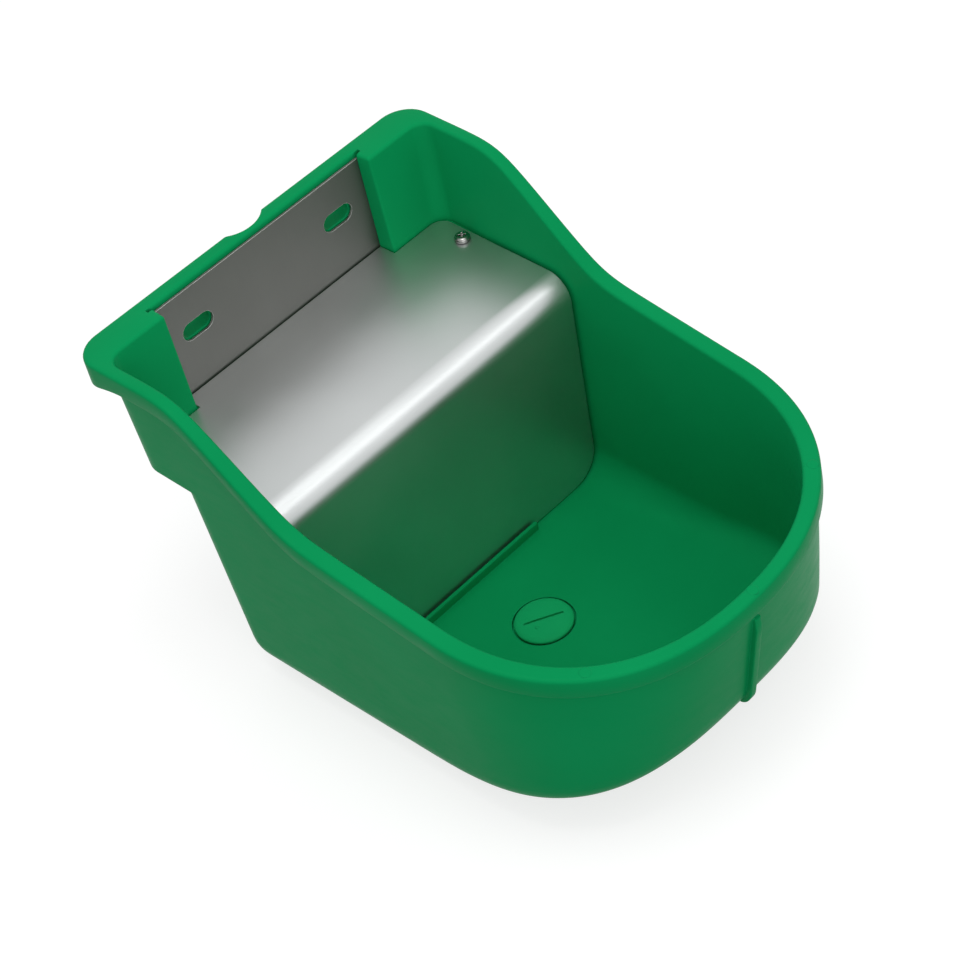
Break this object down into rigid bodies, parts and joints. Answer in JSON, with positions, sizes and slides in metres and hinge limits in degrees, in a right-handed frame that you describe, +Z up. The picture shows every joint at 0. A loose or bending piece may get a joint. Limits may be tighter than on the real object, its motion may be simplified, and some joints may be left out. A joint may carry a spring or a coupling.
{
  "type": "livestock drinking bowl",
  "caption": "Wall-hung moulded animal drinking bowl with sloping rim, steel backing plate, bent steel cover over a float valve, and a slotted drain plug.",
  "frame": {"origin": "on the ground, under the middle of the bowl's bounding box", "axes": "+X to the right seen from the front, +Y towards the wall, +Z up; the round front is at -Y"},
  "size_m": [0.25, 0.347, 0.2132],
  "materials": {
    "green_plastic": "semi-gloss moulded green plastic",
    "plug_green": "semi-gloss moulded green plastic",
    "plate_steel": "dull grey sheet steel",
    "cover_steel": "satin stainless sheet",
    "screw_steel": "bright stainless",
    "brass": "plain turned brass",
    "rubber": "black rubber",
    "white_nylon": "off-white nylon",
    "float_plastic": "dark blue moulded plastic"
  },
  "bodies": {
    "bowl": {"bowl_body": "green_plastic", "back_plate": "plate_steel", "valve_cover": "cover_steel", "cover_screw_left": "screw_steel", "cover_screw_right": "screw_steel", "inlet_elbow": "brass", "inlet_gasket": "rubber", "inlet_washer": "screw_steel", "inlet_locknut": "brass", "inlet_strainer": "white_nylon", "valve_body": "brass", "valve_seal_ring": "rubber", "valve_nozzle": "white_nylon", "valve_end_cap": "white_nylon", "lever_pin": "screw_steel", "lever_pin_clip": "screw_steel"},
    "float_arm": {"float_lever": "brass", "float": "float_plastic", "float_stem": "brass", "float_lock_nut": "brass", "float_wing_nut": "brass"},
    "piston": {"valve_piston": "brass", "seat_disc": "rubber"},
    "plug_lift": {"drain_plug_seal": "rubber"},
    "plug": {"drain_plug": "plug_green"}
  },
  "joints": [
    {"name": "float_swing", "type": "hinge", "parent": "bowl", "child": "float_arm", "pos_m": [0.02022, 0.0795, 0.109], "axis": [0, 1, 0], "range_deg": [0, 20]},
    {"name": "piston_slide", "type": "slide", "parent": "bowl", "child": "piston", "axis": [1, 0, 0], "range_m": [0, 0.0032]},
    {"name": "plug_rise", "type": "slide", "parent": "bowl", "child": "plug_lift", "axis": [0, 0, 1], "range_m": [0, 0.0041]},
    {"name": "plug_turn", "type": "hinge", "parent": "plug_lift", "child": "plug", "pos_m": [0, -0.0047, 0], "axis": [0, 0, 1], "range_deg": [0, 360]}
  ],
  "couplings": [
    {"joint": "piston_slide", "follows": "float_swing", "m_per_rad": 0.009},
    {"joint": "plug_rise", "follows": "plug_turn", "m_per_rad": 0.00063662}
  ]
}
